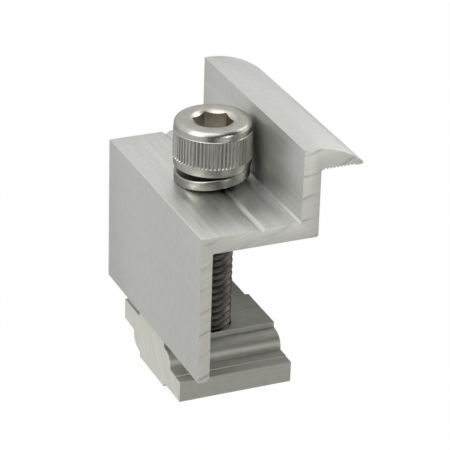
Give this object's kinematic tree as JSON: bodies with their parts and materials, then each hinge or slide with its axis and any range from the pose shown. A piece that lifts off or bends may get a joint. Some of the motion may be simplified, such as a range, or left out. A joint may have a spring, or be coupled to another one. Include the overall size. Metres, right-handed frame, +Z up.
{
  "type": "solar end clamp",
  "caption": "Z-shaped aluminium end clamp with a serrated lip, held by a knurled socket head screw and spring washer on a flanged rail nut.",
  "frame": {"origin": "on the bolt axis, at the height of the leg's foot, which is the top of the rail", "axes": "+X along the rail toward the module, +Y along the clamp's sawn length, +Z up from the rail to the lip"},
  "size_m": [0.0278, 0.041, 0.0482],
  "materials": {
    "clamp_aluminium": "mill-finish extrusion with sawn ends",
    "screw_stainless": "cold-formed A2 stainless, knurled head",
    "washer_stainless": "tumbled stainless wire",
    "nut_aluminium": "mill-finish extrusion with sawn ends"
  },
  "bodies": {
    "clamp_body": {"clamp": "clamp_aluminium"},
    "washer_body": {"spring_washer": "washer_stainless"},
    "screw_body": {"socket_screw": "screw_stainless"},
    "nut_body": {"rail_nut": "nut_aluminium"}
  },
  "joints": [
    {"name": "fastener_swivel", "type": "hinge", "parent": "clamp_body", "child": "washer_body", "pos_m": [0, 0, 0.02615], "axis": [0, 0, 1], "continuous": true},
    {"name": "screw_turn", "type": "hinge", "parent": "washer_body", "child": "screw_body", "pos_m": [0, 0, 0.0291], "axis": [0, 0, 1], "range_deg": [-180, 1080]},
    {"name": "nut_travel", "type": "slide", "parent": "washer_body", "child": "nut_body", "axis": [0, 0, -1], "range_m": [-0.00063, 0.00375]}
  ],
  "couplings": [
    {"joint": "nut_travel", "follows": "screw_turn", "m_per_rad": 0.00019894}
  ]
}
